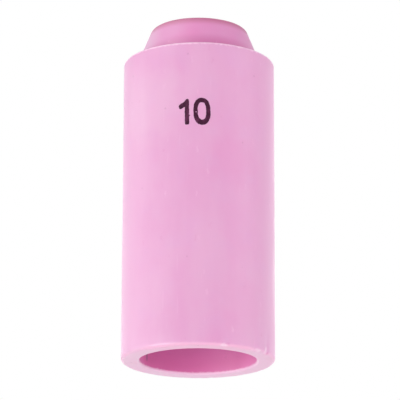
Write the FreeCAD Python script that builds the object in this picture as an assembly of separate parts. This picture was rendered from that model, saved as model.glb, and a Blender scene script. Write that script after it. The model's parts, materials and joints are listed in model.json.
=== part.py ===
# Gas nozzle of a TIG welding torch, size 10: one turned and fired piece of alumina.
# Millimetres. +Z runs along the nozzle's axis, from the gas outlet towards the torch.
# The origin is the centre of the outlet's end face. The front, which carries the size number, faces -Y.

import FreeCAD, Part
import math
import os

from FreeCAD import Vector

# Driving dimensions

size_number = 10              # the bore, in sixteenths of an inch
wall = 2.5                    # of the straight body, bore to outside
overall_length = 47.2         # outlet face to torch end
outlet_inner_round = 0.4      # edge between the outlet face and the bore
outlet_outer_round = 0.5      # edge between the outlet face and the body

thread_major_diameter = 11.1  # roots of the inside thread that the collet body screws into
thread_depth = 0.65           # from its roots to its crests, which the entry chamfer takes off
thread_length = 8.2           # torch end down to where the thread opens into the bore
bore_cone_angle = 45.0        # degrees between the axis and the cone that joins bore and thread

torch_end_land = 0.58         # flat ring round the thread's mouth, which seals on the torch's gasket
neck_height = 5.0             # tapered seat above the flat shoulder
neck_taper = 22.0             # degrees between the seat's cone and the axis
neck_root_round = 0.3         # hollow corner at the foot of the seat
neck_end_round = 0.7          # outer edge of the torch end
shoulder_round = 0.3          # outer edge of the shoulder

# Sizes that follow from them

millimetres_per_inch = 25.4
sixteenths_per_inch = 16
bore_radius = size_number * millimetres_per_inch / sixteenths_per_inch / 2
body_radius = bore_radius + wall
root_radius = thread_major_diameter / 2
crest_radius = root_radius - thread_depth
thread_foot = overall_length - thread_length
cone_height = (bore_radius - crest_radius) / math.tan(math.radians(bore_cone_angle))
bore_end = thread_foot - cone_height
taper = math.radians(neck_taper)
end_round_reach = neck_end_round * math.tan((math.pi / 2 - taper) / 2)
neck_end_radius = root_radius + torch_end_land + end_round_reach
neck_root_radius = neck_end_radius + neck_height * math.tan(taper)
shoulder_height = overall_length - neck_height


def on_profile(radius, height):
    """A point of the half section, which lies in the plane y = 0."""
    return Vector(radius, 0, height)


def rounded_wire(corners):
    """A closed wire through (point, round) corners: each gets an arc of its round's radius, or is sharp at 0."""
    starts, ends, arcs = [], [], []
    for i, (corner, radius) in enumerate(corners):
        back = (corners[i - 1][0] - corner).normalize()
        ahead = (corners[(i + 1) % len(corners)][0] - corner).normalize()
        half_angle = back.getAngle(ahead) / 2
        reach = radius / math.tan(half_angle)
        start, end = corner + back * reach, corner + ahead * reach
        starts.append(start)
        ends.append(end)
        if radius > 0:
            to_centre = (back + ahead).normalize()
            centre = corner + to_centre * (radius / math.sin(half_angle))
            arcs.append(Part.Arc(start, centre - to_centre * radius, end).toShape())
        else:
            arcs.append(None)

    edges = []
    for i, arc in enumerate(arcs):
        if arc:
            edges.append(arc)
        edges.append(Part.LineSegment(ends[i], starts[(i + 1) % len(starts)]).toShape())
    return Part.Wire(edges)


def outside_corners():
    """The outside, from the outlet face up over the shoulder and the tapered seat to the torch end."""
    return [
        (on_profile(body_radius, 0), outlet_outer_round),
        (on_profile(body_radius, shoulder_height), shoulder_round),
        (on_profile(neck_root_radius, shoulder_height), neck_root_round),
        (on_profile(neck_end_radius, overall_length), neck_end_round),
    ]


def inside_corners():
    """The inside, from the entry chamfer down through the thread's crests and the cone to the outlet."""
    return [
        (on_profile(root_radius, overall_length), 0),
        (on_profile(crest_radius, overall_length - thread_depth), 0),
        (on_profile(crest_radius, thread_foot), 0),
        (on_profile(bore_radius, bore_end), 0),
        (on_profile(bore_radius, 0), outlet_inner_round),
    ]


def gas_nozzle():
    """The half section turned once round the axis."""
    section = Part.Face(rounded_wire(outside_corners() + inside_corners()))
    return section.revolve(Vector(0, 0, 0), Vector(0, 0, 1), 360)


os.makedirs("parts", exist_ok=True)
nozzle = gas_nozzle()
nozzle.exportStep("parts/gas_nozzle.step")
print(f"bore {2 * bore_radius:.3f} to {bore_end:.2f} high, body {2 * body_radius:.3f}")
print(f"seat {2 * neck_root_radius:.2f} to {2 * neck_end_radius:.2f}, shoulder at {shoulder_height:.2f}")
print(f"crests {2 * crest_radius:.2f}, from {thread_foot:.2f} to {overall_length - thread_depth:.2f}")
box = nozzle.optimalBoundingBox(False)
print(f"valid {nozzle.isValid()}, volume {nozzle.Volume:.1f} mm3, box {box.XLength:.3f} x {box.ZLength:.3f}")
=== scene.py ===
# %% [markdown]
# A gas nozzle is the ceramic cup at the front of a TIG welding torch. It is pressed from alumina powder,
# fired until it shrinks hard, and left unglazed, so it is one satin piece with soft edges, a tapered seat
# and a coarse inside thread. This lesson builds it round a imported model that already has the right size.
# That model is read first, and every size here comes from it or is a named value in metres.

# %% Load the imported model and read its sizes
import json
import math

import bmesh
import bpy
from mathutils import Matrix, Vector, noise

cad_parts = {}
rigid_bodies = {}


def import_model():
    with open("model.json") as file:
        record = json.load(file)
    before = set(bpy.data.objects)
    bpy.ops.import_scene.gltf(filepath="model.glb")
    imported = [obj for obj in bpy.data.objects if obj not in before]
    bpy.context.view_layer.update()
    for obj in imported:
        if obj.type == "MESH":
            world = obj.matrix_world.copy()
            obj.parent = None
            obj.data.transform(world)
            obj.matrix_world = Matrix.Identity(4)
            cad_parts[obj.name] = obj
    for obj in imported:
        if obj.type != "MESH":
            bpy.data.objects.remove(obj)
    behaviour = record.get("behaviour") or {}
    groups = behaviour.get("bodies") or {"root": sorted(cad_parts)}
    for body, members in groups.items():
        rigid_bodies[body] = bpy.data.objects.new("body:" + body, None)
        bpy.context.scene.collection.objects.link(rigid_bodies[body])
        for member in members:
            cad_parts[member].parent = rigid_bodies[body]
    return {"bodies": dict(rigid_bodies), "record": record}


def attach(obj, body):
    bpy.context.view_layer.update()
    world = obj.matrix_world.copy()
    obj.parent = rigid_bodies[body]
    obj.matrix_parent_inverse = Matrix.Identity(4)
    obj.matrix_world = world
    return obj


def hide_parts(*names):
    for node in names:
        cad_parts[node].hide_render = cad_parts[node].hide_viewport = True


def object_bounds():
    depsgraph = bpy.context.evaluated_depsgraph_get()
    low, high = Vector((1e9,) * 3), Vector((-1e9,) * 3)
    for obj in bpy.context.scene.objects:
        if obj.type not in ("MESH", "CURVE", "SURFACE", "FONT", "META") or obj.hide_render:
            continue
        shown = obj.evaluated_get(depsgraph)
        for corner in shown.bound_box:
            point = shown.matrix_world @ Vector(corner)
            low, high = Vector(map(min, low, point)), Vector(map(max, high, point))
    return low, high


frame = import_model()
cad_low, cad_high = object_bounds()
mm = 0.001
mounts = {mount["name"]: mount for mount in frame["record"]["mounts"]}
body_radius = cad_high.x
overall_length = cad_high.z
bore_radius = mounts["gas_outlet"]["dims"]["r_mm"] * mm
crest_radius = mounts["collet_body_thread"]["dims"]["r_mm"] * mm
shoulder_height = mounts["shoulder"]["pos_m"][2]
print(f"body {2 * body_radius / mm:.2f} mm across, {overall_length / mm:.2f} mm long")
print(f"shoulder {shoulder_height / mm:.2f} mm above the outlet")

# %% [markdown]
# A turned part is drawn as half of its section and then spun. The section needs only its corners: nine of
# them, in the plane y = 0. Pressed ceramic has no sharp edge anywhere, because a sharp edge chips in the
# die, so each corner has a round of its own. Bevelling the corner's vertex makes that arc, which is
# quicker and truer than placing arc points.

# %% The corners of the half section
outlet_inner_round = 0.4 * mm
outlet_outer_round = 0.5 * mm
shoulder_round = 0.3 * mm
neck_root_round = 0.3 * mm
neck_end_round = 0.7 * mm
chamfer_outer_round = 0.08 * mm
chamfer_inner_round = 0.2 * mm
thread_exit_round = 0.6 * mm
bore_cone_round = 1.5 * mm
thread_depth = 0.65 * mm
thread_length = 8.2 * mm
torch_end_land = 0.58 * mm
neck_taper = math.radians(22)
bore_cone_angle = math.radians(45)

root_radius = crest_radius + thread_depth
thread_foot = overall_length - thread_length
neck_end_reach = neck_end_round * math.tan((math.pi / 2 - neck_taper) / 2)
neck_end_radius = root_radius + torch_end_land + neck_end_reach
neck_root_radius = neck_end_radius + (overall_length - shoulder_height) * math.tan(neck_taper)
bore_end = thread_foot - (bore_radius - crest_radius) / math.tan(bore_cone_angle)

# distance from the axis, height, and radius of the round
corners = [
    (body_radius, 0, outlet_outer_round),
    (body_radius, shoulder_height, shoulder_round),
    (neck_root_radius, shoulder_height, neck_root_round),
    (neck_end_radius, overall_length, neck_end_round),
    (root_radius, overall_length, chamfer_outer_round),
    (crest_radius, overall_length - thread_depth, chamfer_inner_round),
    (crest_radius, thread_foot, thread_exit_round),
    (bore_radius, bore_end, bore_cone_round),
    (bore_radius, 0, outlet_inner_round),
]
print(f"seat {2 * neck_root_radius / mm:.2f} to {2 * neck_end_radius / mm:.2f} mm across")
print(f"bore {bore_end / mm:.2f} mm deep")

# %% Round the corners and divide the long stretches
round_segments = 8
plain_step = 1.6 * mm
fine_step = 0.1 * mm
thread_margin = 0.02 * mm
outlet_margin = 0.01 * mm


def in_thread(vert):
    return vert.co.x < root_radius + thread_margin and vert.co.z > thread_foot - thread_depth


def on_outlet(vert):
    return vert.co.z < outlet_outer_round + outlet_margin and vert.co.x > bore_radius


def half_section():
    """A closed loop of edges in the plane y = 0, its corners rounded and its long stretches divided."""
    bm = bmesh.new()
    verts = [bm.verts.new((radius, 0, height)) for radius, height, _ in corners]
    bm.faces.new(verts)
    for i, (_, _, radius) in enumerate(corners):
        corner, back, ahead = verts[i].co, corners[i - 1], corners[(i + 1) % len(corners)]
        to_back = Vector((back[0], 0, back[1])) - corner
        to_ahead = Vector((ahead[0], 0, ahead[1])) - corner
        reach = radius / math.tan(to_back.angle(to_ahead) / 2)
        bmesh.ops.bevel(bm, geom=[verts[i]], offset=reach, offset_type="ABSOLUTE", affect="VERTICES",
                        segments=round_segments, profile=0.5, material=-1)
    bmesh.ops.delete(bm, geom=list(bm.faces), context="FACES_ONLY")
    for edge in list(bm.edges):
        fine = all(in_thread(v) for v in edge.verts) or all(on_outlet(v) for v in edge.verts)
        cuts = round(edge.calc_length() / (fine_step if fine else plain_step)) - 1
        if cuts > 0:
            bmesh.ops.subdivide_edges(bm, edges=[edge], cuts=cuts)
    return bm


nozzle_mesh = half_section()
print(len(nozzle_mesh.verts), "points in the half section")

# %% [markdown]
# Spinning the section once round Z closes the skin, and use_merge joins the last ring to the first. The
# number of steps is high because the edge of a turned part is the first place where facets show.

# %% Spin the section into the nozzle's skin
spin_steps = 360
merge_distance = 0.001 * mm
bmesh.ops.spin(nozzle_mesh, geom=list(nozzle_mesh.verts) + list(nozzle_mesh.edges), cent=(0, 0, 0),
               axis=(0, 0, 1), dvec=(0, 0, 0), angle=2 * math.pi, steps=spin_steps, use_merge=True,
               use_duplicate=False)
bmesh.ops.remove_doubles(nozzle_mesh, verts=list(nozzle_mesh.verts), dist=merge_distance)
bmesh.ops.recalc_face_normals(nozzle_mesh, faces=list(nozzle_mesh.faces))
print(len(nozzle_mesh.faces), "faces in the skin")

# %% [markdown]
# The inside thread is moulded in the ceramic. The section followed the thread's crests, so the groove is
# made by moving the wall outwards wherever a right-handed helix is deeper than the wall already is. That
# rule also gives the thread its lead-in at the entry chamfer and its run-out at the cone, as a cutter or
# a core pin would.

# %% Press the thread into the wall
thread_pitch = 1.8 * mm
# shares of the pitch that one flank and one crest take
flank_share = 0.22
crest_share = 0.26
lowest_cut = thread_foot - 1.2 * thread_depth


def groove_depth(angle, height):
    """How deep the helical groove is below the crests, from 0 to 1, with soft edges."""
    phase = (height / thread_pitch - angle / (2 * math.pi)) % 1
    from_crest = abs(phase - 0.5)
    along_flank = (from_crest - crest_share / 2) / flank_share
    along_flank = min(max(along_flank, 0), 1)
    return along_flank * along_flank * (3 - 2 * along_flank)


for vert in nozzle_mesh.verts:
    radius = math.hypot(vert.co.x, vert.co.y)
    if radius > root_radius + thread_margin or vert.co.z < lowest_cut:
        continue
    depth = thread_depth * groove_depth(math.atan2(vert.co.y, vert.co.x), vert.co.z)
    cut_radius = max(radius, crest_radius + depth)
    vert.co.x *= cut_radius / radius
    vert.co.y *= cut_radius / radius
print(f"thread of {thread_length / thread_pitch:.1f} turns, {2 * root_radius / mm:.1f} mm over its roots")

# %% [markdown]
# A fired piece is never as true as a machined one. A low, broad unevenness of two hundredths of a
# millimetre is enough for the light to drift over the surface. Standing and knocking the nozzle on its
# outlet rubs that edge unevenly and chips it. A chip in ceramic is a shallow dish with a crisp rim, so a
# parabola fits it better than a soft dent. All of these are moved into the mesh along the normals, so
# they are in the shape and not only in the shading.

# %% Add the unevenness of firing and the nicks
unevenness = 0.02 * mm
unevenness_size = 6 * mm
# degrees round from the front, radius, height, size and depth, all on the outlet's outer edge
nicks = [
    (19.5, body_radius - 0.10 * mm, 0.20 * mm, 1.10 * mm, 0.16 * mm),
    (22.0, body_radius - 0.05 * mm, 0.30 * mm, 0.60 * mm, 0.22 * mm),
    (48.0, body_radius - 0.15 * mm, 0.15 * mm, 1.30 * mm, 0.16 * mm),
    (55.0, body_radius - 0.40 * mm, 0.00 * mm, 0.90 * mm, 0.12 * mm),
    (62.0, body_radius - 0.05 * mm, 0.35 * mm, 1.20 * mm, 0.20 * mm),
    (-38.0, body_radius - 0.30 * mm, 0.05 * mm, 0.50 * mm, 0.08 * mm),
    (170.0, body_radius - 0.10 * mm, 0.15 * mm, 1.00 * mm, 0.14 * mm),
]
rubbed_depth = 0.09 * mm
rubbed_size = 0.8 * mm
rubbed_reach = 0.35 * mm
rubbed_share = 0.1


def nick_depth(place):
    """How far the nicks and the uneven rubbing of the outlet's outer edge push this place in."""
    depth = 0
    for around, radius, height, size, deepest in nicks:
        angle = math.radians(around)
        centre = Vector((radius * math.sin(angle), -radius * math.cos(angle), height))
        depth += deepest * max(0, 1 - ((place - centre).length / (size / 2)) ** 2)
    from_edge = math.hypot(math.hypot(place.x, place.y) - body_radius, place.z) / rubbed_reach
    rubbed = max(0, noise.noise(place / rubbed_size) + rubbed_share)
    return depth + rubbed_depth * rubbed * math.exp(-from_edge ** 2)


nozzle_mesh.normal_update()
moves = []
for vert in nozzle_mesh.verts:
    wave = noise.noise(vert.co / unevenness_size) * unevenness
    moves.append(vert.normal * (wave - nick_depth(vert.co)))
for vert, move in zip(nozzle_mesh.verts, moves):
    vert.co += move
print(f"{len(nicks)} nicks, and the longest move is {max(move.length for move in moves) / mm:.2f} mm")

# %% Make the nozzle's object
flat_face_weight = 80


def object_from(bm, name):
    """A smooth-shaded object at the origin, whose place is in its mesh."""
    mesh = bpy.data.meshes.new(name)
    bm.to_mesh(mesh)
    bm.free()
    mesh.shade_smooth()
    piece = bpy.data.objects.new(name, mesh)
    bpy.context.scene.collection.objects.link(piece)
    return piece


nozzle = object_from(nozzle_mesh, "nozzle_skin")
flat_faces = nozzle.modifiers.new("even_flats", "WEIGHTED_NORMAL")
flat_faces.weight = flat_face_weight
print(f"nozzle skin {len(nozzle.data.polygons)} faces")

# %% [markdown]
# The size number is printed in dark ink. It is plain lettering, drawn here from simple shapes: the 1 is a
# polygon whose corners are rounded by bevelling their vertices, and the 0 is two ovals with a bridge of
# faces between them. Each digit is drawn flat, cut into narrow strips so that it can bend, given the
# thickness of ink and wrapped on the body.

# %% Draw the 1
one_middle = Vector((-1.61 * mm, 0, 32.22 * mm))
one_height = 3.63 * mm
stem_width = 0.58 * mm
corner_segments = 4


def flat_one():
    """A stem with a curved flag and a small run of ink on its right, in the plane y = 0."""
    side, top = stem_width / 2, one_height / 2
    # x, z and how far the rounding reaches from the corner
    outline = [
        (-side, -top, 0.14 * mm),
        (side, -top, 0.14 * mm),
        (side, -0.62 * mm, 0.03 * mm),
        (side + 0.15 * mm, -0.53 * mm, 0.05 * mm),
        (side, -0.40 * mm, 0.03 * mm),
        (side, top - 0.01 * mm, 0.22 * mm),
        (-0.05 * mm, top + 0.04 * mm, 0.10 * mm),
        (-0.44 * mm, top - 0.48 * mm, 0.25 * mm),
        (-1.17 * mm, top - 0.81 * mm, 0.24 * mm),
        (-1.03 * mm, top - 1.49 * mm, 0.24 * mm),
        (-side, top - 1.10 * mm, 0.05 * mm),
    ]
    bm = bmesh.new()
    verts = [bm.verts.new((x, 0, z)) for x, z, _ in outline]
    bm.faces.new(verts)
    for vert, (_, _, reach) in zip(verts, outline):
        bmesh.ops.bevel(bm, geom=[vert], offset=reach, offset_type="ABSOLUTE", affect="VERTICES",
                        segments=corner_segments, profile=0.5, material=-1)
    return bm


one_mesh = flat_one()
print(len(one_mesh.verts), "points round the 1")

# %% Draw the 0
zero_middle = Vector((0.42 * mm, 0, 32.26 * mm))
zero_width = 2.32 * mm
zero_height = 3.80 * mm
hole_middle = Vector((0.00 * mm, 0, 0.04 * mm))
hole_width = 1.15 * mm
hole_height = 2.45 * mm
squareness = 2.45
outline_flattening = 0.01
hole_flattening = 0.02
oval_segments = 72


def oval(bm, middle, width, height, flattening):
    """A loop of edges a little squarer than an ellipse and flattened at its lower left."""
    upright = Matrix.Rotation(math.radians(90), 4, "X")
    loop = bmesh.ops.create_circle(bm, segments=oval_segments, radius=1, matrix=upright)
    for vert in loop["verts"]:
        x, z = vert.co.x, vert.co.z
        reach = (abs(x) ** squareness + abs(z) ** squareness) ** (-1 / squareness)
        if x < 0 and z < 0:
            reach *= 1 - 2 * flattening * x * z / (x * x + z * z)
        vert.co = middle + Vector((x * width / 2, 0, z * height / 2)) * reach
    return list(dict.fromkeys(edge for vert in loop["verts"] for edge in vert.link_edges))


zero_mesh = bmesh.new()
outline = oval(zero_mesh, Vector(), zero_width, zero_height, outline_flattening)
hole = oval(zero_mesh, hole_middle, hole_width, hole_height, hole_flattening)
bmesh.ops.bridge_loops(zero_mesh, edges=outline + hole)
print(len(zero_mesh.faces), "faces between the ovals of the 0")

# %% Cut the flat digits into strips
strip = 0.12 * mm


def cut_into_strips(bm):
    low = min(vert.co.x for vert in bm.verts)
    high = max(vert.co.x for vert in bm.verts)
    for i in range(1, int((high - low) / strip) + 1):
        bmesh.ops.bisect_plane(bm, geom=list(bm.verts) + list(bm.edges) + list(bm.faces),
                               plane_co=(low + i * strip, 0, 0), plane_no=(1, 0, 0))
    for edge in list(bm.edges):
        cuts = round(edge.calc_length() / strip) - 1
        if cuts > 0:
            bmesh.ops.subdivide_edges(bm, edges=[edge], cuts=cuts)
    bmesh.ops.triangulate(bm, faces=list(bm.faces))


cut_into_strips(one_mesh)
cut_into_strips(zero_mesh)
print(len(one_mesh.faces), "faces in the 1 and", len(zero_mesh.faces), "in the 0")

# %% Give the digits ink and wrap them on the body
ink_thickness = 0.02 * mm
# how much of its thickness the ink lies below the body's own radius
ink_sunk = 0.25
raggedness = 0.045 * mm
raggedness_size = 0.28 * mm
raggedness_seed = 10
number_lean = math.radians(0.9)


def inked(bm, middle):
    """Leans a flat digit, roughens its outline, thickens it and bends it round the body."""
    for vert in bm.verts:
        vert.co.x -= vert.co.z * math.tan(number_lean)
        vert.co += middle
        if vert.is_boundary:
            drift = noise.noise_vector(vert.co / raggedness_size)
            vert.co += Vector((drift.x, 0, drift.z)) * raggedness
    thick = bmesh.ops.extrude_face_region(bm, geom=list(bm.faces))
    outer = [item for item in thick["geom"] if isinstance(item, bmesh.types.BMVert)]
    bmesh.ops.translate(bm, verts=outer, vec=(0, -ink_thickness, 0))
    for vert in bm.verts:
        angle = vert.co.x / body_radius
        radius = body_radius - ink_sunk * ink_thickness - vert.co.y
        vert.co = Vector((radius * math.sin(angle), -radius * math.cos(angle), vert.co.z))
    bmesh.ops.recalc_face_normals(bm, faces=list(bm.faces))
    return bm


# noise_vector starts from the clock unless it is given a seed
noise.seed_set(raggedness_seed)
number_mesh = inked(one_mesh, one_middle)
zero = object_from(inked(zero_mesh, zero_middle), "zero")
number_mesh.from_mesh(zero.data)
bpy.data.objects.remove(zero)
number = object_from(number_mesh, "size_number")
print(f"size number {len(number.data.polygons)} faces")

# %% [markdown]
# Fired alumina isn't one flat pink. The colour drifts in soft clouds between a rosier and a bluer pink,
# faint bands run along the axis where the powder was pressed, handling leaves short pale and dark rubs
# and a few long scratches, and pores leave pits. Ink and ceramic share this grain, so it is a node group
# with named inputs. It puts out masks and a height, and each material decides what to do with them.

# %% Helpers that add nodes and link them


def add_node(tree, kind, place, **properties):
    made = tree.nodes.new(kind)
    made.location = place
    for name, value in properties.items():
        setattr(made, name, value)
    return made


def feed(tree, socket, value):
    """Links an input where the value is another node's output, and else sets its constant."""
    if isinstance(value, bpy.types.NodeSocket):
        tree.links.new(value, socket)
    else:
        socket.default_value = value


def math_node(tree, place, operation, first, second=None, third=None):
    """A Math node whose inputs are numbers or other nodes' outputs."""
    made = add_node(tree, "ShaderNodeMath", place, operation=operation)
    for socket, value in zip(made.inputs, (first, second, third)):
        if value is not None:
            feed(tree, socket, value)
    return made.outputs[0]


def ranged(tree, place, value, low, high, to_low=0.0, to_high=1.0):
    """Stretches a value from one range to another, with smooth ends."""
    stretch = add_node(tree, "ShaderNodeMapRange", place, interpolation_type="SMOOTHSTEP")
    names = ("Value", "From Min", "From Max", "To Min", "To Max")
    for name, given_value in zip(names, (value, low, high, to_low, to_high)):
        feed(tree, stretch.inputs[name], given_value)
    return stretch.outputs[0]


print("helpers add_node, feed, math_node and ranged")

# %% Helpers for patterns


def stretched(tree, place, coordinates, stretch):
    """Coordinates scaled by a number for each axis; less than 1 makes a pattern longer along that axis."""
    mapping = add_node(tree, "ShaderNodeMapping", place)
    mapping.inputs["Scale"].default_value = stretch
    tree.links.new(coordinates, mapping.inputs["Vector"])
    return mapping.outputs[0]


def noise_mask(tree, place, coordinates, scale, detail, stretch=(1, 1, 1)):
    """A noise over coordinates in millimetres; scale is features per millimetre."""
    texture = add_node(tree, "ShaderNodeTexNoise", (place[0] + 200, place[1]))
    texture.inputs["Detail"].default_value = detail
    tree.links.new(stretched(tree, place, coordinates, stretch), texture.inputs["Vector"])
    feed(tree, texture.inputs["Scale"], scale)
    return texture.outputs["Fac"]


def random_cells(tree, place, coordinates, scale):
    """Voronoi cells: how far a point is from its cell's middle, and three random numbers of the cell."""
    cells = add_node(tree, "ShaderNodeTexVoronoi", place)
    tree.links.new(coordinates, cells.inputs["Vector"])
    feed(tree, cells.inputs["Scale"], scale)
    numbers = add_node(tree, "ShaderNodeSeparateColor", (place[0] + 200, place[1]))
    tree.links.new(cells.outputs["Color"], numbers.inputs[0])
    return cells.outputs["Distance"], numbers.outputs


print("helpers stretched, noise_mask and random_cells")

# %% Start the fired grain group


def new_group(name, inputs, outputs):
    """A node group that takes coordinates and the named numbers, and puts out the named values."""
    group = bpy.data.node_groups.new(name, "ShaderNodeTree")
    group.interface.new_socket("Coordinates", in_out="INPUT", socket_type="NodeSocketVector")
    for socket, value in inputs.items():
        made = group.interface.new_socket(socket, in_out="INPUT", socket_type="NodeSocketFloat")
        made.default_value = value
    for socket in outputs:
        group.interface.new_socket(socket, in_out="OUTPUT", socket_type="NodeSocketFloat")
    given = add_node(group, "NodeGroupInput", (-1400, 0))
    in_mm = add_node(group, "ShaderNodeVectorMath", (-1200, 200), operation="SCALE")
    in_mm.inputs["Scale"].default_value = 1 / mm
    group.links.new(given.outputs["Coordinates"], in_mm.inputs[0])
    put_out = add_node(group, "NodeGroupOutput", (900, 0))
    return group, given.outputs, in_mm.outputs[0], put_out.inputs


grain_group, given, place_mm, put_out = new_group(
    "fired_grain", {"Cloud size mm": 6.0, "Mark spacing mm": 1.1, "Pit spacing mm": 1.5},
    ("Clouds", "Drift", "Bands", "Light marks", "Dark marks", "Scratches", "Pits", "Height"))
link = grain_group.links.new
print("fired grain group puts out", ", ".join(socket.name for socket in put_out if socket.name))

# %% Clouds, drift and bands
cloud_stretch = (1, 1, 0.7)
band_stretch = (0.30, 0.30, 0.05)
drift_scale = 0.28
colour_detail = 3
cloud_scale = math_node(grain_group, (-1000, 400), "DIVIDE", 1, given["Cloud size mm"])
clouds = noise_mask(grain_group, (-800, 400), place_mm, cloud_scale, colour_detail, cloud_stretch)
link(clouds, put_out["Clouds"])
link(noise_mask(grain_group, (-800, 1000), place_mm, drift_scale, colour_detail), put_out["Drift"])
link(noise_mask(grain_group, (-800, 700), place_mm, 1.0, colour_detail, band_stretch), put_out["Bands"])
print(f"drift features {1 / drift_scale:.1f} mm across")

# %% [markdown]
# The rubs are the middles of Voronoi cells. Their coordinates are bent by a noise first and drawn out
# along the axis, so that no two rubs have the same outline. Each cell's random numbers give its rub a
# size, a strength and a tone. The scratches are made in the same way, longer and thinner and without the
# bend.

# %% Rubs
bend_scale = 1.6
bend_distance = 0.9
rub_stretch = (1, 1, 0.4)
smallest_rub = 0.02
rub_growth = 0.22
rub_softness = 0.12
faintest_rub = 0.2
rub_contrast = 1.1
# a rub is dark where its random number is over this, so about a third of them are
dark_share = (0.66, 0.68)
mark_scale = math_node(grain_group, (-1200, 100), "DIVIDE", 1, given["Mark spacing mm"])
bend = add_node(grain_group, "ShaderNodeTexNoise", (-1200, -50))
bend.inputs["Scale"].default_value = bend_scale
link(place_mm, bend.inputs["Vector"])
bent = add_node(grain_group, "ShaderNodeVectorMath", (-1000, 100), operation="MULTIPLY_ADD")
link(bend.outputs["Color"], bent.inputs[0])
bent.inputs[1].default_value = (bend_distance, bend_distance, bend_distance)
link(place_mm, bent.inputs[2])
upright = stretched(grain_group, (-800, 100), bent.outputs[0], rub_stretch)
to_middle, numbers = random_cells(grain_group, (-600, 100), upright, mark_scale)
size = math_node(grain_group, (-400, 400), "MULTIPLY_ADD", numbers["Green"], rub_growth, smallest_rub)
from_rim = math_node(grain_group, (-200, 400), "SUBTRACT", size, to_middle)
rub = ranged(grain_group, (0, 300), from_rim, 0.0, rub_softness)
strength = math_node(grain_group, (-200, -50), "MULTIPLY_ADD", numbers["Blue"], rub_contrast, faintest_rub)
shown = math_node(grain_group, (150, 200), "MULTIPLY", rub, strength)
is_dark = ranged(grain_group, (-200, 50), numbers["Red"], *dark_share)
dark = math_node(grain_group, (300, 50), "MULTIPLY", shown, is_dark)
link(dark, put_out["Dark marks"])
link(math_node(grain_group, (450, 150), "SUBTRACT", shown, dark), put_out["Light marks"])
print(f"rubs {1 / rub_stretch[2]:.1f} times as long as wide")

# %% Scratches
scratch_stretch = (1, 1, 0.07)
scratch_scale = 1.3
thinnest_scratch = 0.05
scratch_growth = 0.15
scratch_softness = 0.10
lengthwise = stretched(grain_group, (-1000, 1300), place_mm, scratch_stretch)
to_middle, numbers = random_cells(grain_group, (-800, 1300), lengthwise, scratch_scale)
size = math_node(grain_group, (-400, 1300), "MULTIPLY_ADD", numbers["Green"], scratch_growth,
                 thinnest_scratch)
from_rim = math_node(grain_group, (-200, 1300), "SUBTRACT", size, to_middle)
link(ranged(grain_group, (0, 1300), from_rim, 0.0, scratch_softness), put_out["Scratches"])
print(f"scratches {1 / scratch_stretch[2]:.0f} times as long as wide")

# %% Pits, and the height of all the small marks
# a cell has a pit where its random number is in this range, and a deeper one where it is higher
pit_share = (0.70, 1.0)
largest_pit = 0.13
pit_softness = 0.06
pit_scale = math_node(grain_group, (-1000, -200), "DIVIDE", 1, given["Pit spacing mm"])
to_middle, numbers = random_cells(grain_group, (-800, -200), place_mm, pit_scale)
reach = ranged(grain_group, (-400, -350), numbers["Red"], *pit_share, 0.0, largest_pit)
deep = math_node(grain_group, (-200, -200), "SUBTRACT", reach, to_middle)
pits = ranged(grain_group, (0, -200), deep, 0.0, pit_softness)
link(pits, put_out["Pits"])

grain_scale = 5.0
grain_detail = 3
pimple_scale = 1.3
pimple_detail = 2
pimple_height = 1.2
rub_height = -1.0
pit_height = -2.0
fine = noise_mask(grain_group, (-800, -600), place_mm, grain_scale, grain_detail)
pimples = noise_mask(grain_group, (-800, -800), place_mm, pimple_scale, pimple_detail)
rough = math_node(grain_group, (-200, -600), "MULTIPLY_ADD", pimples, pimple_height, fine)
rubbed = math_node(grain_group, (0, -500), "MULTIPLY_ADD", rub, rub_height, rough)
link(math_node(grain_group, (200, -400), "MULTIPLY_ADD", pits, pit_height, rubbed), put_out["Height"])
print("fired grain group has", len(grain_group.nodes), "nodes")

# %% [markdown]
# Tumbling against other nozzles rubs the corners pale. The same kind of band along a corner also carries
# the painted highlights on the bore's inner edge and on the shoulder's edge. Each corner of a turned part
# is a circle, so a point's distance from that circle says how far into the band it is. The second group
# measures that distance and breaks it up with noise.

# %% Build the edge band group, for worn edges and painted edge highlights
edge_noise_scale = 2.2
edge_noise_detail = 4
edge_noise_share = 1.1
# the band is empty where distance and noise add up to the first of these widths, and full at the second
edge_fade = (1.45, 0.75)


def distance_from_axis(tree, place, coordinates):
    """The three parts of the coordinates, their flat vector without the height, and its length."""
    parts = add_node(tree, "ShaderNodeSeparateXYZ", place)
    tree.links.new(coordinates, parts.inputs[0])
    flat = add_node(tree, "ShaderNodeCombineXYZ", (place[0] + 200, place[1]))
    tree.links.new(parts.outputs["X"], flat.inputs["X"])
    tree.links.new(parts.outputs["Y"], flat.inputs["Y"])
    length = add_node(tree, "ShaderNodeVectorMath", (place[0] + 400, place[1]), operation="LENGTH")
    tree.links.new(flat.outputs[0], length.inputs[0])
    return parts.outputs, flat.outputs[0], length.outputs["Value"]


edge_band_group, given, place_mm, put_out = new_group(
    "edge_band", {"Radius mm": 10.0, "Height mm": 0.0, "Width mm": 0.6}, ("Edge band",))
parts, flat, from_axis = distance_from_axis(edge_band_group, (-1000, 200), place_mm)
outwards = math_node(edge_band_group, (-400, 300), "SUBTRACT", from_axis, given["Radius mm"])
upwards = math_node(edge_band_group, (-400, 100), "SUBTRACT", parts["Z"], given["Height mm"])
squares = math_node(edge_band_group, (-200, 200), "MULTIPLY", outwards, outwards)
squares = math_node(edge_band_group, (0, 200), "MULTIPLY_ADD", upwards, upwards, squares)
distance = math_node(edge_band_group, (150, 200), "SQRT", squares)
share = math_node(edge_band_group, (300, 200), "DIVIDE", distance, given["Width mm"])
uneven = noise_mask(edge_band_group, (-400, -200), place_mm, edge_noise_scale, edge_noise_detail)
share = math_node(edge_band_group, (450, 200), "MULTIPLY_ADD", uneven, edge_noise_share, share)
edge_band_group.links.new(ranged(edge_band_group, (650, 200), share, *edge_fade), put_out["Edge band"])
print("worn edge group has", len(edge_band_group.nodes), "nodes")
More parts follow.
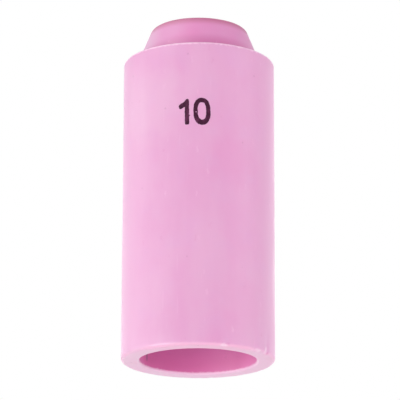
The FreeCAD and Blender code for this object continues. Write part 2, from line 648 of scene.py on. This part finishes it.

# %% [markdown]
# The ceramic's own finish goes on the Principled shader. The outside is paler than the bore and the
# tapered seat. The seat is darker in the corner at its foot and on its rim, which is painted shade, and the
# sides of the seat and of the bore and the bore further from the outlet are lighter, which is painted
# light.
# So each zone has a pink of its own, written as linear red, green and blue, and masks put it in its place.

# %% The pinks of the zones
outside_pink = (0.738, 0.350, 0.586, 1)
cloud_pink = (0.731, 0.324, 0.571, 1)
mauve_pink = (0.700, 0.340, 0.615, 1)
patch_pink = (0.736, 0.285, 0.545, 1)
worn_pink = (0.800, 0.540, 0.690, 1)
bore_mouth_pink = (0.760, 0.165, 0.448, 1)
# painted light: the bore is lighter further from the outlet
bore_painted_light_deep_pink = (0.815, 0.224, 0.552, 1)
# painted light on the bore's side walls
bore_painted_light_pink = (0.900, 0.245, 0.580, 1)
seat_pink = (0.735, 0.242, 0.510, 1)
seat_pale_pink = (0.735, 0.292, 0.548, 1)
# painted light on the sides of the seat
seat_painted_light_pink = (0.745, 0.400, 0.610, 1)
# painted shade in the seat's corner and in holes beside the chips, and the colour of the dark rubs
painted_shade_and_rub_pink = (0.620, 0.172, 0.400, 1)
# painted shade on the seat's rim, where it turns up to the torch end
rim_painted_shade_pink = (0.535, 0.138, 0.275, 1)
ring_pink = (0.850, 0.490, 0.695, 1)
near_ring_pink = (0.905, 0.460, 0.680, 1)
rubbed_edge_pink = (0.830, 0.430, 0.620, 1)
# the colour of pale rubs, and of the painted highlights on the bore's inner edge and the shoulder's edge
rub_and_highlight_pink = (0.940, 0.600, 0.800, 1)
# the paler fresh fracture in the chips, with a painted glint on it
chip_and_glint_pink = (0.940, 0.680, 0.820, 1)
pit_pink = (0.450, 0.170, 0.320, 1)
print("the pinks' green goes from", rim_painted_shade_pink[1], "on the rim to", chip_and_glint_pink[1], "in a chip")

# %% Start a material on its grain


def with_grain(name, **amounts):
    """A new material with the grain in it, and its tree, grain outputs, coordinates and shader."""
    material = bpy.data.materials.new(name)
    material.use_nodes = True
    tree = material.node_tree
    coordinates = add_node(tree, "ShaderNodeTexCoord", (-1400, 0)).outputs["Object"]
    grain = add_node(tree, "ShaderNodeGroup", (-1200, 0), node_tree=grain_group)
    tree.links.new(coordinates, grain.inputs["Coordinates"])
    for socket, value in amounts.items():
        grain.inputs[socket.replace("_", " ")].default_value = value
    return material, tree, grain.outputs, coordinates, tree.nodes["Principled BSDF"]


def add_bump(tree, height, shader, strength, depth):
    bump = add_node(tree, "ShaderNodeBump", (-300, -500))
    bump.inputs["Strength"].default_value = strength
    bump.inputs["Distance"].default_value = depth
    tree.links.new(height, bump.inputs["Height"])
    tree.links.new(bump.outputs[0], shader.inputs["Normal"])


def blend_colour(tree, place, mask, low, high):
    """Mixes from the colour low to the colour high by a mask."""
    mix = add_node(tree, "ShaderNodeMix", place, data_type="RGBA")
    tree.links.new(mask, mix.inputs[0])
    feed(tree, mix.inputs[6], low)
    feed(tree, mix.inputs[7], high)
    return mix.outputs[2]


alumina, tree, grain, coordinates, shader = with_grain("pink_alumina")
print(alumina.name, "starts with", len(tree.nodes), "nodes")

# %% [markdown]
# The colours follow the nozzle's shape, so a mask is made from where a point is: its height, its distance
# from the axis, how far to the right or the back it lies, or its distance from a spot. The object's own
# coordinates give all of these, and they stay with the piece from every side. Each zone below has two
# places: where its colour starts and where it is full.

# %% Masks for the zones
outside_zone = (bore_radius + 0.03 * mm, bore_radius + 0.15 * mm)
ring_zone = (0.42 * mm, 0.12 * mm)
near_ring_zone = (-6.0 * mm, -8.4 * mm)
seat_zone = (shoulder_height - 0.10 * mm, shoulder_height + 0.25 * mm)
parts, flat, from_axis = distance_from_axis(tree, (-1200, 500), coordinates)
outside = ranged(tree, (-600, 500), from_axis, *outside_zone)
on_ring = ranged(tree, (-600, 900), parts["Z"], *ring_zone)
near_ring = ranged(tree, (-600, 1300), parts["Y"], *near_ring_zone)
on_seat = ranged(tree, (-600, 300), parts["Z"], *seat_zone)
print(f"outside from {outside_zone[0] / mm:.2f} to {outside_zone[1] / mm:.2f} mm off the axis")

# %% The rubbed outside
cloud_levels = (0.34, 0.66)
drift_levels = (0.48, 0.68)
drift_strength = 0.20
band_levels = (0.35, 0.75)
band_strength = 0.14
clouds = ranged(tree, (-800, 100), grain["Clouds"], *cloud_levels)
rubbed_colour = blend_colour(tree, (-400, 100), clouds, cloud_pink, outside_pink)
drift = ranged(tree, (-800, 250), grain["Drift"], *drift_levels, 0.0, drift_strength)
rubbed_colour = blend_colour(tree, (-380, 50), drift, rubbed_colour, mauve_pink)
bands = ranged(tree, (-800, -50), grain["Bands"], *band_levels, 0.0, band_strength)
rubbed_colour = blend_colour(tree, (-350, 0), bands, rubbed_colour, worn_pink)
print("clouds, drift and bands on", len(tree.nodes), "nodes")

# %% Patches that fired deeper or are rubbed paler
# degrees round from the front, height, size, strength and colour
patches = [
    (25, 25.5 * mm, 5.5 * mm, 0.50, patch_pink),
    (16, 1.5 * mm, 4.5 * mm, 0.40, patch_pink),
    (150, 18.0 * mm, 6.0 * mm, 0.50, patch_pink),
    (-110, 31.0 * mm, 5.0 * mm, 0.45, patch_pink),
    (-40, 34.0 * mm, 7.5 * mm, 0.26, worn_pink),
    (95, 12.0 * mm, 6.0 * mm, 0.25, worn_pink),
    (33, 6.0 * mm, 5.5 * mm, 0.28, patch_pink),
]
# a patch starts and is full at these shares of its size, once the drift has bent its outline
patch_fade = (1.45, 0.75)


def away_from(tree, coordinates, place, around, height, inwards=0.0):
    """How far a point of the surface is from a place on the body, given in degrees round from the front."""
    angle, radius = math.radians(around), body_radius - inwards
    away = add_node(tree, "ShaderNodeVectorMath", place, operation="DISTANCE")
    tree.links.new(coordinates, away.inputs[0])
    away.inputs[1].default_value = (radius * math.sin(angle), -radius * math.cos(angle), height)
    return away.outputs["Value"]


for i, (around, height, size, strength, patch_colour) in enumerate(patches):
    down = -1400 - 200 * i
    away = away_from(tree, coordinates, (-1000, down), around, height)
    uneven = math_node(tree, (-800, down), "MULTIPLY_ADD", grain["Drift"], size, away)
    start, full = (share * size for share in patch_fade)
    patch = ranged(tree, (-600, down), uneven, start, full, 0.0, strength)
    rubbed_colour = blend_colour(tree, (-340 + 10 * i, -200), patch, rubbed_colour, patch_colour)
print(len(patches), "patches on the outside")

# %% The bore and its hairline
# where the bore starts to be painted lighter and where it is full: painted light
deep_bore_zone = (0.5 * mm, 4.5 * mm)
# where the painted light on the bore's side walls starts and is full, right and left
right_side_zone = (5.2 * mm, 7.3 * mm)
left_side_zone = (-6.9 * mm, -7.8 * mm)
# a dark hairline on the bore's wall, left of the axis and behind it, from 1 to 8 mm above the outlet
hairline_place = (-7.00 * mm, 3.75 * mm, 0)
hairline_zone = (0.26 * mm, 0.10 * mm)
hairline_middle = 4.5 * mm
hairline_reach = (3.7 * mm, 3.2 * mm)
bore_depth_light = ranged(tree, (-600, 1100), parts["Z"], *deep_bore_zone)
# painted light, lighter further up the bore
bore_colour = blend_colour(tree, (-400, 1100), bore_depth_light, bore_mouth_pink, bore_painted_light_deep_pink)
right_side = ranged(tree, (-600, 1900), parts["X"], *right_side_zone)
left_side = ranged(tree, (-600, 2100), parts["X"], *left_side_zone)
bore_side_painted_light = math_node(tree, (-400, 1900), "MAXIMUM", right_side, left_side)
# painted light on the bore's side walls
bore_colour = blend_colour(tree, (-380, 1150), bore_side_painted_light, bore_colour, bore_painted_light_pink)
from_hairline = add_node(tree, "ShaderNodeVectorMath", (-800, 1500), operation="DISTANCE")
tree.links.new(flat, from_hairline.inputs[0])
from_hairline.inputs[1].default_value = hairline_place
on_hairline = ranged(tree, (-600, 1500), from_hairline.outputs["Value"], *hairline_zone)
from_its_middle = math_node(tree, (-800, 1700), "SUBTRACT", parts["Z"], hairline_middle)
from_its_middle = math_node(tree, (-700, 1700), "ABSOLUTE", from_its_middle)
along_hairline = ranged(tree, (-600, 1700), from_its_middle, *hairline_reach)
on_hairline = math_node(tree, (-400, 1500), "MULTIPLY", on_hairline, along_hairline)
bore_colour = blend_colour(tree, (-350, 1200), on_hairline, bore_colour, pit_pink)
colour = blend_colour(tree, (-300, 100), outside, bore_colour, rubbed_colour)
print("hairline", round(math.hypot(hairline_place[0], hairline_place[1]) / mm, 2), "mm from the axis")

# %% The tapered seat
# the painted shade in the seat's corner is tallest just right of the front and falls away to both sides
tallest_at = 0.6 * mm
corner_shade_fall = 0.014 / mm
corner_shade_zone = (2.6 * mm, 0.75 * mm)
# where the painted light on the seat's sides starts and is full, and how strong it is on the right
seat_left_zone = (-4.6 * mm, -7.0 * mm)
seat_right_zone = (4.8 * mm, 7.2 * mm)
seat_right_strength = 0.35
rim_zone = (-1.45 * mm, -0.20 * mm)
to_corner = math_node(tree, (-800, 700), "SUBTRACT", parts["Z"], shoulder_height)
from_tallest = math_node(tree, (-1000, 800), "SUBTRACT", parts["X"], tallest_at)
fall = math_node(tree, (-800, 800), "MULTIPLY", from_tallest, from_tallest)
to_corner_shade = math_node(tree, (-600, 700), "MULTIPLY_ADD", fall, corner_shade_fall, to_corner)
corner_painted_shade = ranged(tree, (-400, 700), to_corner_shade, *corner_shade_zone)
seat_left = ranged(tree, (-600, 400), parts["X"], *seat_left_zone)
seat_right = ranged(tree, (-600, 450), parts["X"], *seat_right_zone, 0.0, seat_right_strength)
seat_painted_light = math_node(tree, (-400, 400), "MAXIMUM", seat_left, seat_right)
# painted shade along the seat's rim
to_rim = math_node(tree, (-800, 850), "SUBTRACT", parts["Z"], overall_length)
rim_painted_shade = ranged(tree, (-600, 850), to_rim, *rim_zone)
seat_colour = blend_colour(tree, (-350, 350), clouds, seat_pink, seat_pale_pink)
# painted light on the seat's sides
seat_colour = blend_colour(tree, (-320, 320), seat_painted_light, seat_colour, seat_painted_light_pink)
# painted shade in the corner at the seat's foot
seat_colour = blend_colour(tree, (-300, 300), corner_painted_shade, seat_colour, painted_shade_and_rub_pink)
# painted shade on the seat's rim
seat_colour = blend_colour(tree, (-250, 400), rim_painted_shade, seat_colour, rim_painted_shade_pink)
colour = blend_colour(tree, (-200, 100), on_seat, colour, seat_colour)
print("the corner's stain reaches", round(corner_shade_zone[0] / mm, 2), "mm up the seat")

# %% The outlet's face
rosy_levels = (0.50, 0.66)
rosy_strength = 0.35
ring_colour = blend_colour(tree, (-200, 1300), near_ring, ring_pink, near_ring_pink)
rosy = ranged(tree, (-400, 1400), grain["Drift"], *rosy_levels, 0.0, rosy_strength)
ring_colour = blend_colour(tree, (-150, 1350), rosy, ring_colour, rubbed_edge_pink)
colour = blend_colour(tree, (0, 100), on_ring, colour, ring_colour)
print("the outlet's face is", round((body_radius - bore_radius) / mm, 2), "mm wide")

# %% Rubs and scratches on the outside
light_mark_strength = 0.13
scratch_strength = 0.07
dark_mark_strength = 0.17
light_marks = math_node(tree, (-400, -50), "MULTIPLY", grain["Light marks"], light_mark_strength)
light_marks = math_node(tree, (-300, -50), "MULTIPLY_ADD", grain["Scratches"], scratch_strength,
                        light_marks)
light_marks = math_node(tree, (-200, -50), "MULTIPLY", light_marks, outside)
colour = blend_colour(tree, (50, 100), light_marks, colour, rub_and_highlight_pink)
dark_marks = math_node(tree, (-400, -100), "MULTIPLY", grain["Dark marks"], dark_mark_strength)
colour = blend_colour(tree, (100, 100), dark_marks, colour, painted_shade_and_rub_pink)
print("rubs and scratches on", len(tree.nodes), "nodes")

# %% Worn edges and painted edge highlights
# radius, height and width of each edge band, how far its colour goes to the edge's colour, and that colour
worn_and_highlit_edges = [
    # the bore's inner edge: a painted highlight
    (bore_radius, 0.08 * mm, 0.45 * mm, 0.6, rub_and_highlight_pink),
    (body_radius, 0.10 * mm, 0.45 * mm, 0.40, rubbed_edge_pink),
    # the shoulder's edge: worn paler, with a painted highlight
    (body_radius, shoulder_height, 0.45 * mm, 1.0, rub_and_highlight_pink),
]
edge_masks = []
for i, (radius, height, width, amount, edge_colour) in enumerate(worn_and_highlit_edges):
    edge = add_node(tree, "ShaderNodeGroup", (-400, -300 - 200 * i), node_tree=edge_band_group)
    tree.links.new(coordinates, edge.inputs["Coordinates"])
    for name, value in (("Radius mm", radius), ("Height mm", height), ("Width mm", width)):
        edge.inputs[name].default_value = value / mm
    edge_masks.append(edge.outputs["Edge band"])
    edge_share = math_node(tree, (-200, -300 - 200 * i), "MULTIPLY", edge.outputs["Edge band"], amount)
    colour = blend_colour(tree, (150 + 150 * i, 100), edge_share, colour, edge_colour)
print(len(worn_and_highlit_edges), "worn edges")

# %% Fresh spots in the chips with painted glints, painted shade in holes beside them, and pits
# degrees round from the front, height, size, strength and colour
chip_glint_and_shade_spots = [
    # bright spots: paler fresh fracture with a painted glint
    (18.3, 0.02 * mm, 0.44 * mm, 0.6, chip_and_glint_pink),
    (19.8, 0.04 * mm, 0.48 * mm, 0.7, chip_and_glint_pink),
    (21.2, 0.02 * mm, 0.44 * mm, 0.6, chip_and_glint_pink),
    # dark spot: painted shade in a hole beside a chip
    (23.0, 0.35 * mm, 0.28 * mm, 0.3, painted_shade_and_rub_pink),
    # bright spots: paler fresh fracture with a painted glint
    (50.0, 0.10 * mm, 0.46 * mm, 0.5, chip_and_glint_pink),
    (52.5, 0.05 * mm, 0.44 * mm, 0.5, chip_and_glint_pink),
    (61.5, 0.45 * mm, 0.46 * mm, 0.5, chip_and_glint_pink),
    (62.0, 0.80 * mm, 0.34 * mm, 0.4, chip_and_glint_pink),
    # dark spot: painted shade in a hole beside a chip
    (64.5, 0.15 * mm, 0.30 * mm, 0.4, painted_shade_and_rub_pink),
]
spot_inwards = 0.15 * mm
spot_waviness = 0.35
spot_fade = (1.5, 0.6)
pit_strength = 0.28
for i, (around, height, size, strength, spot_colour) in enumerate(chip_glint_and_shade_spots):
    down = -2800 - 200 * i
    away = away_from(tree, coordinates, (-1000, down), around, height, spot_inwards)
    uneven = math_node(tree, (-800, down), "MULTIPLY_ADD", grain["Height"], spot_waviness * size, away)
    start, full = (share * size for share in spot_fade)
    spot = ranged(tree, (-600, down), uneven, start, full, 0.0, strength)
    colour = blend_colour(tree, (450 + 30 * i, -200), spot, colour, spot_colour)
pits = math_node(tree, (-400, -150), "MULTIPLY", grain["Pits"], pit_strength)
colour = blend_colour(tree, (750, 100), pits, colour, pit_pink)
tree.links.new(colour, shader.inputs["Base Color"])
print(len(chip_glint_and_shade_spots), "fresh spots in the chips")

# %% [markdown]
# Handling smooths the outside, so the bore and the seat are duller than it, and so is the outlet's edge,
# which standing has worn powdery. The index of refraction is alumina's, 1.76, which gives the sheen on
# surfaces that face the light and the paler edges where the body turns away. The powdery skin of an
# unglazed piece adds a faint velvet rim, so a trace of sheen goes on top, and a little light passes under
# the surface.

# %% The alumina's gloss
smoothest = 0.38
roughest = 0.48
gloss_levels = (0.3, 0.7)
dull_roughness = 0.20
seat_share = 0.6
bump_depth = 0.02 * mm
bump_strength = 0.4
rubbed_roughness = ranged(tree, (-400, -1200), grain["Clouds"], *gloss_levels, smoothest, roughest)
dull = math_node(tree, (-600, -1000), "SUBTRACT", 1, outside)
dull_seat = math_node(tree, (-500, -1100), "MULTIPLY", on_seat, seat_share)
dull = math_node(tree, (-400, -1000), "MAXIMUM", dull, dull_seat)
outlet_edge = edge_masks[1]
dull = math_node(tree, (-300, -1000), "MAXIMUM", dull, outlet_edge)
roughness = math_node(tree, (-200, -1200), "MULTIPLY_ADD", dull, dull_roughness, rubbed_roughness)
tree.links.new(roughness, shader.inputs["Roughness"])
add_bump(tree, grain["Height"], shader, bump_strength, bump_depth)
shader.inputs["IOR"].default_value = 1.76
shader.inputs["Sheen Weight"].default_value = 0.06
shader.inputs["Sheen Roughness"].default_value = 0.4
shader.inputs["Subsurface Weight"].default_value = 0.15
shader.inputs["Subsurface Radius"].default_value = (1.0, 0.45, 0.7)
shader.inputs["Subsurface Scale"].default_value = 0.8 * mm
print("pink alumina has", len(tree.nodes), "nodes")

# %% [markdown]
# The ink is a matt dark purple that fires slightly unevenly: where it is thin, the ceramic tints it, and
# where it met a pore, the ceramic shows. It lies on the same grain, so it uses the same group for its
# tone and its bump.

# %% Fired ink
ink_dark = (0.042, 0.004, 0.024, 1)
ink_thin = (0.100, 0.018, 0.060, 1)
thin_levels = (0.42, 0.64)
ink_smoothest = 0.60
ink_roughest = 0.75
ink_bump_strength = 0.3
pinhole_across = -0.37 * mm
pinhole_height = 32.18 * mm
pinhole_zone = (0.11 * mm, 0.03 * mm)
ink, tree, grain, coordinates, shader = with_grain("fired_ink", Cloud_size_mm=0.8, Pit_spacing_mm=0.9)
thin = ranged(tree, (-800, 200), grain["Clouds"], *thin_levels)
ink_colour = blend_colour(tree, (-300, 200), thin, ink_dark, ink_thin)
pinhole_around = math.degrees(pinhole_across / body_radius)
away = away_from(tree, coordinates, (-800, 400), pinhole_around, pinhole_height)
in_pinhole = ranged(tree, (-600, 400), away, *pinhole_zone)
ink_colour = blend_colour(tree, (-100, 200), in_pinhole, ink_colour, outside_pink)
tree.links.new(ink_colour, shader.inputs["Base Color"])
roughness = ranged(tree, (-800, -100), grain["Clouds"], *gloss_levels, ink_smoothest, ink_roughest)
tree.links.new(roughness, shader.inputs["Roughness"])
add_bump(tree, grain["Height"], shader, ink_bump_strength, bump_depth)
shader.inputs["Specular IOR Level"].default_value = 0.2
print("fired ink has", len(tree.nodes), "nodes")

# %% Finish the pieces and tie them to the frame
nozzle.data.materials.append(alumina)
number.data.materials.append(ink)
body_name = next(iter(frame["bodies"]))
for piece in (nozzle, number):
    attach(piece, body_name)
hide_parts("gas_nozzle")
print("pieces ride on", body_name)

# %% [markdown]
# The nozzle stands on its outlet, and the picture looks up at it from below, so the floor must not hide
# the outlet. The floor is therefore see-through from below and invisible to the light that the nozzle
# throws down. From above it is a plain pale floor with the nozzle's shadow, which fades to white with
# distance. Part of the floor's paleness is a glow of its own, so that it looks pale without more light on
# the nozzle.

# %% Lay the floor
floor_size = 2.4
floor_gap = 0.05 * mm
floor_mesh = bmesh.new()
bmesh.ops.create_grid(floor_mesh, x_segments=1, y_segments=1, size=floor_size / 2,
                      matrix=Matrix.Translation((0, 0, cad_low.z - floor_gap)))
floor = object_from(floor_mesh, "floor")
floor.visible_diffuse = False
floor.visible_glossy = False
floor.visible_transmission = False
floor.visible_shadow = False
print(f"floor {floor_size} m across, {floor_gap / mm:.2f} mm under the outlet")

# %% Paint the floor
floor_paint = 0.95
floor_glow = 0.30
# metres from the nozzle's foot where the floor starts to fade and where it is white
fade_start = 0.03
fade_end = 0.16
floor_material = bpy.data.materials.new("pale_floor")
floor_material.use_nodes = True
tree = floor_material.node_tree
tree.nodes.remove(tree.nodes["Principled BSDF"])
paint = add_node(tree, "ShaderNodeBsdfDiffuse", (0, 200))
paint.inputs["Color"].default_value = (floor_paint, floor_paint, floor_paint, 1)
white = add_node(tree, "ShaderNodeEmission", (0, 0))
white.inputs["Color"].default_value = (1, 1, 1, 1)
clear = add_node(tree, "ShaderNodeBsdfTransparent", (0, -200))
on_floor = add_node(tree, "ShaderNodeTexCoord", (-600, 400)).outputs["Object"]
distance = add_node(tree, "ShaderNodeVectorMath", (-400, 400), operation="LENGTH")
tree.links.new(on_floor, distance.inputs[0])


def mix_shaders(tree, place, factor, low, high):
    mix = add_node(tree, "ShaderNodeMixShader", place)
    tree.links.new(factor, mix.inputs[0])
    tree.links.new(low.outputs[0], mix.inputs[1])
    tree.links.new(high.outputs[0], mix.inputs[2])
    return mix


to_white = ranged(tree, (0, 400), distance.outputs["Value"], fade_start, fade_end, floor_glow, 1.0)
faded = mix_shaders(tree, (200, 200), to_white, paint, white)
facing = add_node(tree, "ShaderNodeNewGeometry", (200, 500))
one_way = mix_shaders(tree, (400, 200), facing.outputs["Backfacing"], faded, clear)
tree.links.new(one_way.outputs[0], tree.nodes["Material Output"].inputs["Surface"])
floor.data.materials.append(floor_material)
print(f"floor fades to white {fade_end} m from the nozzle")

# %% [markdown]
# The light is plain studio light. A pale surround lights the nozzle mostly from below, as a white table
# does, and two large soft lamps on the left make that side the lightest. The fills lift the right, the
# front and the back without a gleam of their own. The reflectors do the opposite, as white cards do: they
# only gleam in the satin surface. What the camera and the reflections see of the surround is plain white.

# %% Light the scene
light_from_below = 0.82
light_from_above = 0.05
# heights of a direction, from -1 straight down to 1 straight up, where the light starts and stops to change
lowest_change = -0.4
highest_change = 0.9
world = bpy.data.worlds.new("white_surround")
bpy.context.scene.world = world
world.use_nodes = True
tree = world.node_tree
direction = add_node(tree, "ShaderNodeTexCoord", (-800, 0))
up_or_down = add_node(tree, "ShaderNodeSeparateXYZ", (-600, 0))
tree.links.new(direction.outputs["Generated"], up_or_down.inputs[0])
level = ranged(tree, (-400, 0), up_or_down.outputs["Z"], lowest_change, highest_change,
               light_from_below, light_from_above)
lighting = tree.nodes["Background"]
lighting.inputs["Color"].default_value = (1, 1, 1, 1)
tree.links.new(level, lighting.inputs["Strength"])
seen = add_node(tree, "ShaderNodeBackground", (0, -200))
seen.inputs["Color"].default_value = (1, 1, 1, 1)
rays = add_node(tree, "ShaderNodeLightPath", (-600, 500))
seen_through = rays.outputs["Is Transmission Ray"]
straight = math_node(tree, (-200, 400), "MAXIMUM", rays.outputs["Is Camera Ray"], seen_through)
sees_white = math_node(tree, (0, 400), "MAXIMUM", straight, rays.outputs["Is Glossy Ray"])
surround = mix_shaders(tree, (200, 0), sees_white, lighting, seen)
tree.links.new(surround.outputs[0], tree.nodes["World Output"].inputs["Surface"])
print(f"surround gives {light_from_below} from below and {light_from_above} from above")

# %% Hang the lamps
lamp_distance = 0.5


def soft_lamp(name, azimuth, elevation, size, watts, lights=True, gleams=True):
    """A square lamp turned to the nozzle's middle. Azimuth 0 is the front, and positive is to the right."""
    lamp = bpy.data.lights.new(name, "AREA")
    lamp.energy = watts
    lamp.size = size
    across, up = math.radians(azimuth), math.radians(elevation)
    direction = Vector((math.sin(across) * math.cos(up), -math.cos(across) * math.cos(up), math.sin(up)))
    holder = bpy.data.objects.new(name, lamp)
    holder.location = Vector((0, 0, overall_length / 2)) + direction * lamp_distance
    holder.rotation_euler = direction.to_track_quat("Z", "Y").to_euler()
    holder.visible_diffuse = lights
    holder.visible_glossy = gleams
    bpy.context.scene.collection.objects.link(holder)


soft_lamp("low_left_lamp", -60, -22, 0.30, 0.40)
soft_lamp("high_left_lamp", -70, 50, 0.30, 1.10)
soft_lamp("right_fill", 68, 10, 0.30, 0.96, gleams=False)
soft_lamp("front_fill", -8, -10, 0.30, 0.63, gleams=False)
soft_lamp("back_fill", 170, 10, 0.30, 0.90, gleams=False)
soft_lamp("left_reflector", -60, -22, 0.30, 2.60, lights=False)
soft_lamp("side_reflector", -105, 0, 0.35, 0.55, lights=False)
soft_lamp("rear_left_reflector", -150, 0, 0.35, 0.38, lights=False)
soft_lamp("rear_right_reflector", 150, 0, 0.35, 0.30, lights=False)

# %% [markdown]
# The camera looks up at the nozzle from 16 degrees below its middle, through a long lens, and is turned a
# fifth of a degree. Its distance sets how much wider the near outlet looks than the far shoulder.

# %% Place the camera
camera_distance = 375 * mm
camera_drop = math.radians(16.27)
camera_turn = math.radians(0.19)
picture_size = 400
focal_pixels = 2724.5
middle_height = 23.5 * mm
middle_in_picture = (198.58, 195.27)

camera_data = bpy.data.cameras.new("camera")
camera_data.sensor_width = 36
camera_data.lens = focal_pixels / picture_size * camera_data.sensor_width
camera_data.clip_start = 10 * mm
camera_data.clip_end = 5
camera_data.shift_x = (picture_size / 2 - middle_in_picture[0]) / picture_size
camera_data.shift_y = (middle_in_picture[1] - picture_size / 2) / picture_size
camera = bpy.data.objects.new("camera", camera_data)
towards = Vector((0, math.cos(camera_drop), math.sin(camera_drop)))
camera.location = Vector((0, 0, middle_height)) - towards * camera_distance
facing = towards.to_track_quat("-Z", "Y").to_matrix()
camera.rotation_euler = (facing @ Matrix.Rotation(camera_turn, 3, "Z")).to_euler()
bpy.context.scene.collection.objects.link(camera)
bpy.context.scene.camera = camera
bpy.context.scene.view_settings.view_transform = "Standard"
print(f"camera {camera_distance / mm:.0f} mm away, lens {camera_data.lens:.0f} mm")
